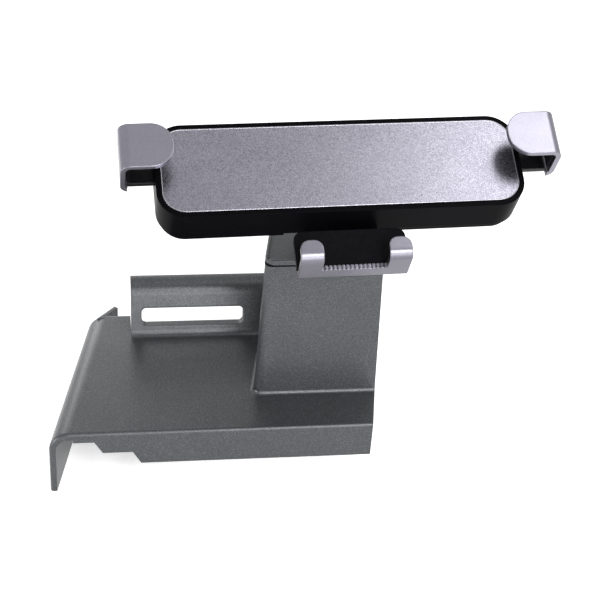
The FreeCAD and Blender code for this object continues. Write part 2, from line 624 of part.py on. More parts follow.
def make_rear_cover():
    """Rear cover with the foot's notch and the slit collet of the ball joint."""
    body = doc.addObject("PartDesign::Body", "rear_cover")
    length = "housing_length - 2 * cover_inset"
    height = "housing_height - 2 * cover_inset"
    tray = soft_rectangle(body, "tray", length, height, "housing_corner - cover_inset", COVER_REAR)
    pad(body, tray, "cover_depth")
    rear_face = [index for index, face in enumerate(body.Tip.Shape.Faces)
                 if abs(face.CenterOfMass.z - number(COVER_REAR)) < number("cover_depth") / 10]
    rim = [edge.hashCode() for edge in body.Tip.Shape.Faces[rear_face[0]].Edges]
    rounded(body, "tray_round", "cover_round", [
        f"Edge{index}" for index, edge in enumerate(body.Tip.Shape.Edges, start=1) if edge.hashCode() in rim])
    hollow = soft_rectangle(body, "tray_hollow", f"{length} - 2 * shell_wall", f"{height} - 2 * shell_wall",
                            "housing_corner - cover_inset - shell_wall", SEAM)
    pocket(body, hollow, "cover_depth - shell_wall")
    notch_top = f"-({height}) / 2 + shell_wall + slide_gap"
    notch = outline(body, "foot_notch", "XY", rectangle(
        "-notch_half", "notch_half", "-housing_height / 2", notch_top), (0, 0, SEAM))
    pocket(body, notch, "cover_depth")
    notch_level = number(f"{COVER_REAR} + shell_wall / 2")
    notch_ends = [(sign * number("notch_half"), number(notch_top), notch_level) for sign in (-1, 1)]
    rounded(body, "notch_corners", "notch_round", edges(body, (0, 0, 1), *notch_ends))
    seats = discs(body, "screw_seats", "XY", "screw_head_radius + face_gap", BOSSES, (0, 0, COVER_REAR))
    pocket(body, seats, "screw_head", upward=True)
    holes = discs(body, "cover_holes", "XY", "screw_radius", BOSSES, (0, 0, COVER_REAR))
    pocket(body, holes, "cover_depth", upward=True)
    collet = discs(body, "collet", "XY", "socket_radius", [(0, 0)], (0, 0, "-socket_mouth"))
    pad(body, collet, f"{COVER_REAR} + socket_mouth")
    cavity = body.newObject("PartDesign::SubtractiveSphere", "ball_cavity")
    bind(cavity, Radius="ball_radius + socket_gap")
    doc.recompute()
    for name, corners in (("slit_along", centred("2 * socket_radius + wall", "slit_width")),
                          ("slit_up", centred("slit_width", "2 * socket_radius + wall"))):
        slit = outline(body, name, "XY", corners, (0, 0, "-socket_mouth"))
        pocket(body, slit, "slit_depth", upward=True)
    finish(body, "rear_cover", clamp_placement())


def make_clamp_fasteners():
    """Four cover screws and the two pins that the pinions turn on."""
    finish(screws("cover_screws", f"{COVER_REAR} + screw_head", f"{COVER_REAR} + screw_head",
                  f"(cover_depth - screw_head + ({CEILING} - {SEAM}) / 2)", BOSSES, head_up=False),
           "cover_screws", clamp_placement())
    pins = [cylinder(f"pin{side}", "pin_radius", f"{CEILING} - {COVER_FLOOR}",
                     (f"{sign} * pinion_offset", PINION_LEVEL, COVER_FLOOR))
            for side, sign in (("_left", -1), ("_right", 1))]
    finish(fuse("pinion_pins", pins), "pinion_pins", clamp_placement())


# Teeth
def solid_of(points, low, high):
    """A prism along Z over a closed outline."""
    loop = [FreeCAD.Vector(x, y, low) for x, y in points]
    return Part.Face(Part.makePolygon(loop + loop[:1])).extrude(FreeCAD.Vector(0, 0, high - low))


def rack_teeth(first, count):
    """Outline of straight rack teeth along X, tips at +Y, from the first tooth's middle."""
    module = number("tooth_module")
    slope = math.tan(math.radians(number("pressure_angle")))
    half = math.pi * module / 4 - number("backlash") / 2
    tip = half - slope * module * number("addendum")
    root = half + slope * module * number("dedendum")
    points = []
    for index in range(count):
        middle = first + index * math.pi * module
        points.append((middle - root, -module * number("dedendum")))
        points.append((middle - tip, module * number("addendum")))
        points.append((middle + tip, module * number("addendum")))
        points.append((middle + root, -module * number("dedendum")))
    return points


def rack_count():
    """Teeth that the slide brings past the pinion, with spare ones at the ends."""
    return math.ceil(number("travel") / (math.pi * number("tooth_module"))) + 2


def make_pinion(side, sign):
    """Involute pinion on its pin, driven by the foot's rack and driving an arm's rack."""
    teeth = round(number("pinion_teeth"))
    pitch_radius = number("tooth_module * pinion_teeth / 2")
    angle = math.radians(number("pressure_angle"))
    base_radius = pitch_radius * math.cos(angle)
    tip_radius = pitch_radius + number("tooth_module * addendum")
    root_radius = pitch_radius - number("tooth_module * dedendum")
    at_pitch = math.pi / (2 * teeth) - number("backlash") / (2 * pitch_radius)
    steps = 4
    flank = [(root_radius, at_pitch + math.tan(angle) - angle)]
    for step in range(steps + 1):
        radius = base_radius + (tip_radius - base_radius) * step / steps
        roll = math.acos(min(1, base_radius / radius))
        flank.append((radius, at_pitch + math.tan(angle) - angle - (math.tan(roll) - roll)))
    points = []
    for index in range(teeth):
        middle = 2 * math.pi * index / teeth
        for radius, half in flank:
            points.append((radius * math.cos(middle - half), radius * math.sin(middle - half)))
        for radius, half in reversed(flank):
            points.append((radius * math.cos(middle + half), radius * math.sin(middle + half)))
    low = number(STEM_REAR)
    high = number(LEAF_REAR)
    bore = Part.makeCylinder(number("pin_radius + pin_gap"), high - low, FreeCAD.Vector(0, 0, low))
    pinion = doc.addObject("Part::Feature", side + "_pinion")
    pinion.Shape = solid_of(points, low, high).cut(bore)
    on_pin = FreeCAD.Placement(FreeCAD.Vector(sign * number("pinion_offset"), number(PINION_LEVEL), 0),
                               FreeCAD.Rotation())
    finish(pinion, side + "_pinion", clamp_placement().multiply(on_pin))


def make_arm_slider(side, sign):
    """Slider of one arm: the leaf's carrier and a rack that lies over the pinion."""
    pitch = math.pi * number("tooth_module")
    line = number(f"{PINION_LEVEL} + tooth_module * pinion_teeth / 2")
    inner = number("pinion_offset - rack_lead")
    top = line + number("tooth_module * dedendum + rack_back")
    carrier_inner = number(LEAF_INNER)
    carrier_outer = number("housing_length / 2 - shell_wall - travel / 2")
    low = number(f"{HOOK_LEVEL} - leaf_height / 2 + slide_gap")
    teeth = [(x, line - y) for x, y in rack_teeth(number("pinion_offset") - pitch / 2, rack_count() + 1)]
    root = line + number("tooth_module * dedendum")
    points = [(inner, top), (inner, root)] + teeth + [
        (carrier_inner, root), (carrier_inner, low), (carrier_outer, low), (carrier_outer, top)]
    slider = doc.addObject("Part::Feature", side + "_arm_slider")
    slider.Shape = solid_of([(sign * x, y) for x, y in points], number(SLIDER_REAR), number(LEAF_REAR))
    finish(slider, side + "_arm_slider", clamp_placement())


def make_arm_hook(side, sign):
    """Strip of aluminium bent to a C: leaf, outer wall and a round ended front."""
    body = doc.addObject("PartDesign::Body", side + "_arm_hook")
    outer = f"{sign} * {HOOK_REACH}"
    wall_inner = f"{sign} * ({HOOK_REACH} - hook_metal)"
    tip = f"{sign} * ({HOOK_REACH} - hook_pad)"
    front = "(face_rise + hook_front)"
    strip = outline(body, side + "_strip", "XZ", [
        (f"{sign} * {LEAF_INNER}", LEAF_FRONT), (f"{sign} * {LEAF_INNER}", LEAF_REAR), (outer, LEAF_REAR),
        (outer, front), (tip, front), (tip, f"{front} - hook_metal"),
        (wall_inner, f"{front} - hook_metal"), (wall_inner, LEAF_FRONT),
    ], (0, 0, f"hook_height / 2 - {HOOK_LEVEL}"))
    pad(body, strip, "hook_height", reverse=True)
    up = (0, 1, 0)
    level = number(HOOK_LEVEL)
    reach = number(HOOK_REACH)
    bends = [(sign * reach, level, number(LEAF_REAR)), (sign * reach, level, number(front))]
    rounded(body, side + "_bends_outside", "hook_bend", edges(body, up, *bends))
    inside = sign * number(f"{HOOK_REACH} - hook_metal")
    bends = [(inside, level, number(LEAF_FRONT)), (inside, level, number(f"{front} - hook_metal"))]
    rounded(body, side + "_bends_inside", "hook_bend - hook_metal", edges(body, up, *bends))
    low = number(f"{HOOK_LEVEL} - hook_height / 2")
    high = number(f"{HOOK_LEVEL} + hook_height / 2")
    ends = [(number(tip), y, number(f"{front} - hook_metal / 2")) for y in (low, high)]
    rounded(body, side + "_round_end", "hook_tip", edges(body, (0, 0, 1), *ends))
    for name, edge, far in (
            ("lower", f"{HOOK_LEVEL} - leaf_height / 2", f"{HOOK_LEVEL} - hook_height / 2 - wall"),
            ("upper", f"{HOOK_LEVEL} + leaf_height / 2", f"{HOOK_LEVEL} + hook_height / 2 + wall")):
        trim = outline(body, f"{side}_{name}_trim", "XY", rectangle(
            f"{sign} * ({LEAF_INNER} - wall)", f"{sign} * (housing_length / 2 + slide_gap + travel)",
            edge, far), (0, 0, f"{LEAF_FRONT} + slide_gap"))
        pocket(body, trim, "hook_metal + 2 * slide_gap")
    seats = discs(body, side + "_screw_seats", "XY", "screw_head_radius + face_gap",
                  arm_screw_places(sign), (0, 0, LEAF_FRONT))
    pocket(body, seats, "screw_head")
    holes = discs(body, side + "_screw_holes", "XY", "screw_radius", arm_screw_places(sign),
                  (0, 0, LEAF_FRONT))
    pocket(body, holes, "hook_metal")
    finish(body, side + "_arm_hook", clamp_placement())


def arm_screw_places(sign):
    """Two screws through the leaf into the slider's carrier."""
    along = f"{sign} * ({LEAF_INNER} + leaf_height / 2)"
    return [(along, f"{HOOK_LEVEL} - leaf_height / 4"), (along, f"{HOOK_LEVEL} + leaf_height / 4")]


def make_arm_pad(side, sign):
    """Rubber liner on the inside of the hook's wall and front."""
    body = doc.addObject("PartDesign::Body", side + "_arm_pad")
    wall_inner = f"{sign} * ({HOOK_REACH} - hook_metal)"
    skin = f"{sign} * ({HOOK_REACH} - hook_metal - liner)"
    tip = f"{sign} * ({HOOK_REACH} - hook_pad + liner_margin)"
    back = "(face_rise + hook_front - hook_metal)"
    foot = f"({LEAF_FRONT} + hook_bend)"
    lining = outline(body, side + "_lining", "XZ", [
        (wall_inner, foot), (wall_inner, back), (tip, back), (tip, f"{back} - liner"),
        (skin, f"{back} - liner"), (skin, foot),
    ], (0, 0, f"hook_height / 2 - liner_margin - {HOOK_LEVEL}"))
    pad(body, lining, "hook_height - 2 * liner_margin", reverse=True)
    corner = (sign * number(f"{HOOK_REACH} - hook_metal"), number(HOOK_LEVEL), number(back))
    rounded(body, side + "_lining_bend", "hook_bend - hook_metal", edges(body, (0, 1, 0), corner))
    ends = [(number(tip), number(f"{HOOK_LEVEL} {way} (hook_height / 2 - liner_margin)"),
             number(f"{back} - liner / 2")) for way in "-+"]
    rounded(body, side + "_lining_end", "hook_tip - liner_margin", edges(body, (0, 0, 1), *ends))
    finish(body, side + "_arm_pad", clamp_placement())


def make_arm_screws(side, sign):
    """Screws that hold the hook's leaf to its slider."""
    finish(screws(side + "_arm_screws", f"{LEAF_FRONT} - screw_head", f"{LEAF_FRONT} - screw_head",
                  "(hook_metal - screw_head)", arm_screw_places(sign), head_up=True),
           side + "_arm_screws", clamp_placement())


# Levels of the foot in the clamp's frame
PAD_TOP = "(-housing_height / 2 - foot_gap)"
BRACKET_TOP = f"({PAD_TOP} + foot_metal / 2)"
LEDGE = f"({PAD_TOP} - foot_height)"
LEDGE_TOP = f"({LEDGE} + foot_metal)"
LIP_TOP = f"({LEDGE} + foot_lip_height)"
BRACKET_FRONT = "(face_rise - foot_recess - foot_pad_depth)"
BRACKET_REAR = f"({BRACKET_FRONT} - foot_metal)"
FLANGE_REAR = f"({BRACKET_REAR} - web)"
LEDGE_FRONT = "(face_rise - foot_recess + foot_metal / 2)"


def make_foot_slider():
    """Foot's stem with a rack on each side, and the web that carries its bracket."""
    module = number("tooth_module")
    line = number("pinion_offset - tooth_module * pinion_teeth / 2")
    core = line - module * number("dedendum")
    level = number(PINION_LEVEL)
    teeth = [(line + y, level + x) for x, y in rack_teeth(-math.pi * module / 2, rack_count())]
    top = teeth[-1][1] + module / 2
    clear = level - number("tooth_module * pinion_teeth / 2 + tooth_module * addendum + 2 * slide_gap")
    half = number("foot_half")
    shoulder = clear - (half - core)
    foot = number(LEDGE_TOP)
    web = number("web")
    height = number(f"{PAD_TOP} - {LEDGE_TOP}")
    shelf_low = foot + height / 2 - web / 2
    right = [(half, shelf_low), (half, shoulder), (core, clear)] + teeth + [(core, top)]
    points = right + [(-x, y) for x, y in reversed(right)]
    stem = solid_of(points, number(STEM_REAR), number(STEM_FRONT))
    rear = number(STEM_REAR)
    front = number(BRACKET_REAR)
    shelf = Part.makeBox(2 * half, web, front - rear, FreeCAD.Vector(-half, shelf_low, rear))
    flange = Part.makeBox(2 * half, height, web, FreeCAD.Vector(-half, foot, number(FLANGE_REAR)))
    solid = stem.fuse([shelf, flange]).removeSplitter()
    for x, y in FOOT_SCREWS:
        foot_of_hole = FreeCAD.Vector(number(x), number(y), number(FLANGE_REAR))
        solid = solid.cut(Part.makeCylinder(number("screw_radius"), web, foot_of_hole))
    slider = doc.addObject("Part::Feature", "foot_slider")
    slider.Shape = solid
    finish(slider, "foot_slider", clamp_placement())


FOOT_SCREWS = [(f"{sign} * foot_half / 2", f"{PAD_TOP} - screw_head_radius - foot_metal")
               for sign in (-1, 1)]


def make_foot_bracket():
    """Aluminium bracket with two lipped hooks and a serrated ledge between them."""
    body = doc.addObject("PartDesign::Body", "foot_bracket")
    lip = "(face_rise + foot_lip_front)"
    side = outline(body, "foot_side", "YZ", [
        (BRACKET_TOP, BRACKET_REAR), (LEDGE, BRACKET_REAR), (LEDGE, lip),
        (LIP_TOP, lip), (LIP_TOP, f"{lip} - foot_metal"),
        (LEDGE_TOP, f"{lip} - foot_metal"), (LEDGE_TOP, BRACKET_FRONT),
        (BRACKET_TOP, BRACKET_FRONT),
    ])
    pad(body, side, "2 * foot_half_width", both=True)
    across = (1, 0, 0)
    ledge = number(LEDGE)
    front = number(lip)
    rounded(body, "foot_bend", "foot_round", edges(body, across, (0, ledge, front)))
    rounded(body, "foot_bend_inside", "foot_round - foot_metal", edges(
        body, across, (0, number(LEDGE_TOP), front - number("foot_metal"))))
    between = "(foot_half_width - foot_hook_width)"
    gap = outline(body, "hook_parting", "XY", rectangle(
        f"-{between}", between, f"{LEDGE} - wall", f"{LIP_TOP} + wall"), (0, 0, f"{lip} + wall"))
    pocket(body, gap, f"{lip} + wall - {LEDGE_FRONT}")
    corners = [(sign * number(inset), number(LIP_TOP), front - number("foot_metal") / 2)
               for sign in (-1, 1) for inset in ("foot_half_width", between)]
    rounded(body, "foot_hook_corners", "foot_round", edges(body, (0, 0, 1), *corners))
    level = number(f"{BRACKET_REAR} + foot_metal / 2")
    tops = [(sign * number("foot_half_width"), number(BRACKET_TOP), level) for sign in (-1, 1)]
    rounded(body, "foot_top_corners", "foot_round", edges(body, (0, 0, 1), *tops))
    count = math.floor(number(f"(2 * {between}) / serration"))
    first = f"(-{count - 1} * serration / 2)"
    notches = outline(body, "serration", "XZ", [
        (f"{first} - serration / 3", f"{LEDGE_FRONT} + slide_gap"),
        (f"{first} + serration / 3", f"{LEDGE_FRONT} + slide_gap"),
        (first, f"{LEDGE_FRONT} - serration / 3"),
    ], (0, 0, f"slide_gap - {LEDGE}"))
    notch = pocket(body, notches, "foot_metal + 2 * slide_gap")
    row = body.newObject("PartDesign::LinearPattern", "serrations")
    row.Originals = [notch]
    axis = [item for item in body.Origin.OriginFeatures if item.Role == "X_Axis"]
    row.Direction = (axis[0], [""])
    bind(row, Length=f"{count - 1} * serration")
    row.Occurrences = count
    body.Tip = row
    doc.recompute()
    holes = discs(body, "foot_holes", "XY", "screw_radius", FOOT_SCREWS, (0, 0, BRACKET_FRONT))
    pocket(body, holes, "foot_metal")
    finish(body, "foot_bracket", clamp_placement())


def make_foot_pad():
    """Black pad on the bracket, with rounded upper corners and seats for the screw heads."""
    body = doc.addObject("PartDesign::Body", "foot_pad")
    face = outline(body, "foot_pad_face", "XY", rectangle(
        "-foot_pad_half", "foot_pad_half", LEDGE_TOP, PAD_TOP), (0, 0, BRACKET_FRONT))
    pad(body, face, "foot_pad_depth")
    level = number(f"{BRACKET_FRONT} + foot_pad_depth / 2")
    corners = [(sign * number("foot_pad_half"), number(PAD_TOP), level) for sign in (-1, 1)]
    rounded(body, "foot_pad_corners", "foot_round", edges(body, (0, 0, 1), *corners))
    seats = discs(body, "foot_pad_seats", "XY", "screw_head_radius + face_gap", FOOT_SCREWS,
                  (0, 0, BRACKET_FRONT))
    pocket(body, seats, "screw_head + face_gap", upward=True)
    finish(body, "foot_pad", clamp_placement())


def make_foot_screws():
    """Screws that hold the bracket to the foot's slider, under the pad."""
    shapes = screws("foot_screws", BRACKET_FRONT, BRACKET_FRONT, "(foot_metal + web)", FOOT_SCREWS, True)
    finish(shapes, "foot_screws", clamp_placement())


make_base_shell()
make_post_cap()
make_stud()
make_lock_nut()
make_rear_cover()
make_front_housing()
make_face_plate()
make_clamp_fasteners()
make_foot_slider()
make_foot_bracket()
make_foot_pad()
make_foot_screws()
for side, sign in (("left", -1), ("right", 1)):
    make_pinion(side, sign)
    make_arm_slider(side, sign)
    make_arm_hook(side, sign)
    make_arm_pad(side, sign)
    make_arm_screws(side, sign)

doc.recompute()
for thing in doc.Objects:
    if "Invalid" in thing.State or "Error" in thing.State:
        raise RuntimeError(f"{thing.Name} failed: {thing.State}")
for thing in sub_parts:
    if thing.Shape.isNull() or not thing.Shape.isValid():
        raise RuntimeError(f"{thing.Label} has no valid shape")

os.makedirs("parts", exist_ok=True)
for thing in sub_parts:
    thing.Shape.exportStep(f"parts/{thing.Label}.step")
    solids = thing.Shape.Solids
    print(f"{thing.Label}: {len(solids)} solids, {thing.Shape.Volume:.1f} mm3")
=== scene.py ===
"""Looks of the car phone holder: finishes, fine pieces, studio and camera, in metres."""
import json
import math

import bpy
import numpy as np
from mathutils import Matrix, Vector


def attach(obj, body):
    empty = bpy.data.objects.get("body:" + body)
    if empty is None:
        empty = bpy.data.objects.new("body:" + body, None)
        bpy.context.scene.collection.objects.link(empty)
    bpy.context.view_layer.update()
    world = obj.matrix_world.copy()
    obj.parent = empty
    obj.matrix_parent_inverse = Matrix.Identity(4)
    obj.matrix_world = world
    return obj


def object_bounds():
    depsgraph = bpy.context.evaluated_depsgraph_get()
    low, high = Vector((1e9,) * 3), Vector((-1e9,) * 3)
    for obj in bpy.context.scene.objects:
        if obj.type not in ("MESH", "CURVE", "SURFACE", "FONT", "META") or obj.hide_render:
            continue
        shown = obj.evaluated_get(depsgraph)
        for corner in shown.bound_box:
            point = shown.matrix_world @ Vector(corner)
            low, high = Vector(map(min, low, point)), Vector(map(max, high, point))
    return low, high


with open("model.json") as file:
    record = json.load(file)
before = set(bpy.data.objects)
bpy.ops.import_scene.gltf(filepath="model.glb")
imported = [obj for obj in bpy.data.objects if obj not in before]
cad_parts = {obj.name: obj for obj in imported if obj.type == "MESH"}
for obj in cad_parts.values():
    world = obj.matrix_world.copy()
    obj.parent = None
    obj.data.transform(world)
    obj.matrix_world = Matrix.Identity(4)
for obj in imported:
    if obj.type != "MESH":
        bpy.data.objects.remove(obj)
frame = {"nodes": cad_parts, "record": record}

CAD_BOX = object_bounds()
MM = 0.001
QUARTER = math.pi / 2
FULL_TURN = 2 * math.pi

# Camera of the photograph: place, turn to the right, look down, roll, focal length in pixels
CAMERA_PLACE = (-0.05139, -0.47960, 0.36577)
CAMERA_YAW = math.radians(9.671)
CAMERA_ELEVATION = math.radians(33.653)
CAMERA_ROLL = math.radians(4.078)
FOCAL_PIXELS = 1440
FRAME_PIXELS = 600
SENSOR = 36

# Clamp's frame: ball's centre, out of the face, along the housing and up the face
JOINTS = {joint["name"]: joint for joint in frame["record"]["behaviour"]["joints"]}
BALL = Vector(JOINTS["clamp_roll"]["pos_m"])
CLAMP_OUT = Vector(JOINTS["clamp_roll"]["axis"])
CLAMP_ALONG = Vector(JOINTS["left_arm_slide"]["axis"])
CLAMP_UP = -Vector(JOINTS["foot_slide"]["axis"])
FACE_RISE = 32.4 * MM
HOOK_BARE = (80.2 * MM, 80.6 * MM)
LEAF_LEVEL = (FACE_RISE - 2.6 * MM, FACE_RISE - 2.2 * MM)
FACE_HALF = (67.9 * MM, 17.9 * MM)
FACE_CORNER = 8.9 * MM

# Bright edge of the face plate
BEAD_WIDTH = 0.4 * MM
BEAD_HEIGHT = 0.08 * MM
BEAD_SINK = 0.1
BEAD_STEPS = 4 * 24
QUADRANT_NUDGE = 1e-6

# Ribs of the hooks' liners: their span up the face, their reach out of it and how they fade
HOOK_LEVEL = 4 * MM
LINER_FACE = 79.5 * MM
LINER_BITE = 0.05 * MM
RIB_HEIGHT = 0.45 * MM
RIB_SPAN = 15 * MM
RIB_REACH = (FACE_RISE + 1.0 * MM, FACE_RISE + 8.2 * MM)
RIBS = 8
RIB_STEPS = 121
REACH_STEPS = 12
REACH_FADE = 6
SPAN_FADE = 12

# Cover screws: places, crown, and the bars of its cross
COVER_REAR = FACE_RISE - 20.4 * MM
SCREWS = (58 * MM, 15 * MM)
CROWN = 1.85 * MM
CROWN_RISE = 0.4 * MM
CROWN_BITE = 0.02 * MM
BAR_HALF_WIDTH = 0.32 * MM
BAR_HALF_LENGTH = 1.1 * MM
BAR_SLOPE = 0.12 * MM
BAR_DEPTH = 0.9

# Post's foot on the plate, in the skewed plan
PLAN_SKEW = 0.2
PLATE_TOP = 2.8 * MM
POST_LEFT = 13.6 * MM
POST_RIGHT = 64.8 * MM
POST_FRONT = -11.0 * MM
POST_BACK = 26.6 * MM
CORNER = 3.5 * MM
COVE = 1.6 * MM
POST_DRAFT = 1.9 * MM
LID_FOOT = 64.2 * MM
# Depth of the black strip that paints the shadow line under the post's lid
SHADOW_LINE_DEPTH = 0.2 * MM
WALL_BITE = 0.15 * MM
SIDE_STEPS = 30
FRONT_STEPS = 40
BEND_STEPS = 12
PROFILE_STEPS = 9

# Studio: floor's reach, its gap under the object and its lift for seen rays; the sky's light
FLOOR_REACH = 3.0
FLOOR_GAP = 0.5 * MM
FLOOR_LIFT = 0.55
SKY_LIGHT = 0.38
SKY_SEEN = 1.0


# Materials
ANODISED = (0.215, 0.209, 0.243)


class Finish:
    """A node material around one Principled shader, with short calls for its nodes."""

    def __init__(self, name):
        self.material = bpy.data.materials.new(name)
        self.material.use_nodes = True
        self.tree = self.material.node_tree
        self.shader = self.tree.nodes["Principled BSDF"]
        self.place = self.tree.nodes.new("ShaderNodeTexCoord").outputs["Object"]

    def set(self, **values):
        """Plain values on the shader's own sockets; underscores stand for spaces."""
        for name, value in values.items():
            self.shader.inputs[name.replace("_", " ")].default_value = value

    def link(self, source, socket):
        self.tree.links.new(source, self.shader.inputs[socket])

    def noise(self, size, detail=2.0, rough=0.5, stretch=(1, 1, 1)):
        """Noise with features of about the given size in metres."""
        mapping = self.tree.nodes.new("ShaderNodeMapping")
        mapping.inputs["Scale"].default_value = stretch
        self.tree.links.new(self.place, mapping.inputs["Vector"])
        node = self.tree.nodes.new("ShaderNodeTexNoise")
        node.inputs["Scale"].default_value = 1 / size
        node.inputs["Detail"].default_value = detail
        node.inputs["Roughness"].default_value = rough
        self.tree.links.new(mapping.outputs["Vector"], node.inputs["Vector"])
        return node.outputs["Fac"]

    def cells(self, size):
        """Random value for each cell of about the given size in metres."""
        node = self.tree.nodes.new("ShaderNodeTexVoronoi")
        node.inputs["Scale"].default_value = 1 / size
        self.tree.links.new(self.place, node.inputs["Vector"])
        split = self.tree.nodes.new("ShaderNodeSeparateColor")
        self.tree.links.new(node.outputs["Color"], split.inputs["Color"])
        return split.outputs["Red"]

    def ramp(self, source, stops):
        """Colours along a value."""
        node = self.tree.nodes.new("ShaderNodeValToRGB")
        while len(node.color_ramp.elements) < len(stops):
            node.color_ramp.elements.new(1)
        for element, (place, colour) in zip(node.color_ramp.elements, stops):
            element.position = place
            element.color = (*colour, 1)
        self.tree.links.new(source, node.inputs["Fac"])
        return node.outputs["Color"]

    def span(self, source, low, high):
        """A value from 0..1 brought to low..high."""
        node = self.tree.nodes.new("ShaderNodeMapRange")
        node.inputs["To Min"].default_value = low
        node.inputs["To Max"].default_value = high
        self.tree.links.new(source, node.inputs["Value"])
        return node.outputs["Result"]

    def mix(self, first, second, share, kind="MIX"):
        """Two colours mixed by a share."""
        node = self.tree.nodes.new("ShaderNodeMix")
        node.data_type = "RGBA"
        node.blend_type = kind
        node.inputs["Factor"].default_value = share
        self.tree.links.new(first, node.inputs["A"])
        self.tree.links.new(second, node.inputs["B"])
        return node.outputs["Result"]

    def bump(self, height, distance, strength, edge):
        """Fine relief of the given height in metres, on edges that are softened by a radius."""
        soft = self.tree.nodes.new("ShaderNodeBevel")
        soft.samples = 6
        soft.inputs["Radius"].default_value = edge
        node = self.tree.nodes.new("ShaderNodeBump")
        node.inputs["Strength"].default_value = strength
        node.inputs["Distance"].default_value = distance
        self.tree.links.new(height, node.inputs["Height"])
        self.tree.links.new(soft.outputs["Normal"], node.inputs["Normal"])
        self.link(node.outputs["Normal"], "Normal")

    def along(self, origin, axis, start, end):
        """0 before start and 1 after end, measured from the origin along the axis, in metres."""
        shift = self.tree.nodes.new("ShaderNodeVectorMath")
        shift.operation = "SUBTRACT"
        shift.inputs[1].default_value = origin
        self.tree.links.new(self.place, shift.inputs[0])
        reach = self.tree.nodes.new("ShaderNodeVectorMath")
        reach.operation = "DOT_PRODUCT"
        reach.inputs[1].default_value = axis
        self.tree.links.new(shift.outputs["Vector"], reach.inputs[0])
        node = self.tree.nodes.new("ShaderNodeMapRange")
        node.inputs["From Min"].default_value = start
        node.inputs["From Max"].default_value = end
        self.tree.links.new(reach.outputs["Value"], node.inputs["Value"])
        return node.outputs["Result"]


def metallic_paint():
    """Grey textured moulding paint with fine metal flakes and slow cloudiness."""
    finish = Finish("metallic_grey_paint")
    flakes = finish.ramp(finish.cells(0.00022), [
        (0.0, (0.045, 0.047, 0.050)), (0.6, (0.060, 0.063, 0.067)), (0.9, (0.078, 0.082, 0.087)),
        (1.0, (0.13, 0.135, 0.14))])
    clouds = finish.ramp(finish.noise(0.02, 3), [(0.3, (0.95, 0.95, 0.95)), (0.7, (1.05, 1.05, 1.05))])
    finish.link(finish.mix(flakes, clouds, 1.0, "MULTIPLY"), "Base Color")
    finish.link(finish.span(finish.noise(0.0006, 2), 0.32, 0.44), "Roughness")
    finish.bump(finish.noise(0.00045, 3, 0.6), 0.00004, 0.4, 0.0009)
    finish.set(Metallic=0.55, Specular_IOR_Level=0.25, Coat_Weight=0.1, Coat_Roughness=0.2)
    return finish.material


def satin_black():
    """Black moulding with a faint spark grain."""
    finish = Finish("satin_black_moulding")
    finish.link(finish.ramp(finish.noise(0.0008, 3), [
        (0.3, (0.0018, 0.0018, 0.0024)), (0.7, (0.0032, 0.0032, 0.004))]), "Base Color")
    finish.link(finish.span(finish.noise(0.004, 4), 0.26, 0.36), "Roughness")
    finish.bump(finish.noise(0.0003, 2), 0.00001, 0.3, 0.0007)
    finish.set(Specular_IOR_Level=0.01)
    return finish.material


def soft_rubber():
    """Matt black rubber with a soft mottle."""
    finish = Finish("soft_black_rubber")
    finish.link(finish.ramp(finish.noise(0.0015, 4), [
        (0.3, (0.0028, 0.0028, 0.0035)), (0.75, (0.005, 0.005, 0.006))]), "Base Color")
    finish.link(finish.span(finish.noise(0.003, 3), 0.45, 0.62), "Roughness")
    finish.bump(finish.noise(0.0004, 3), 0.00003, 0.5, 0.0005)
    finish.set(Specular_IOR_Level=0.02)
    return finish.material


def aluminium_grain(finish, level, spread):
    """Lilac grey of anodised aluminium at a level, in cells that differ by the spread, with slow clouds."""
    grain = finish.ramp(finish.cells(0.00026), [
        (place, tuple(level * (1 + spread * (place - 0.5)) * tint for tint in ANODISED))
        for place in (0, 0.5, 1)])
    clouds = finish.ramp(finish.noise(0.015, 3), [(0.3, (0.95, 0.95, 0.96)), (0.7, (1.04, 1.04, 1.04))])
    return finish.mix(grain, clouds, 1.0, "MULTIPLY")


def blasted_aluminium():
    """Bead blasted, anodised aluminium: lilac grey with a sparkling grain."""
    finish = Finish("blasted_aluminium")
    finish.link(aluminium_grain(finish, 1.0, 0.68), "Base Color")
    finish.link(finish.span(finish.cells(0.0003), 0.25, 0.36), "Roughness")
    finish.bump(finish.noise(0.0003, 2, 0.7), 0.00003, 0.5, 0.0005)
    finish.set(Metallic=1.0)
    return finish.material


def satin_aluminium():
    """Anodised aluminium with a fine, even satin, for the foot's bent bracket."""
    finish = Finish("satin_aluminium")
    finish.link(aluminium_grain(finish, 0.72, 0.16), "Base Color")
    finish.link(finish.span(finish.cells(0.0003), 0.32, 0.37), "Roughness")
    finish.bump(finish.noise(0.0003, 2, 0.7), 0.00002, 0.2, 0.0006)
    finish.set(Metallic=1.0)
    return finish.material


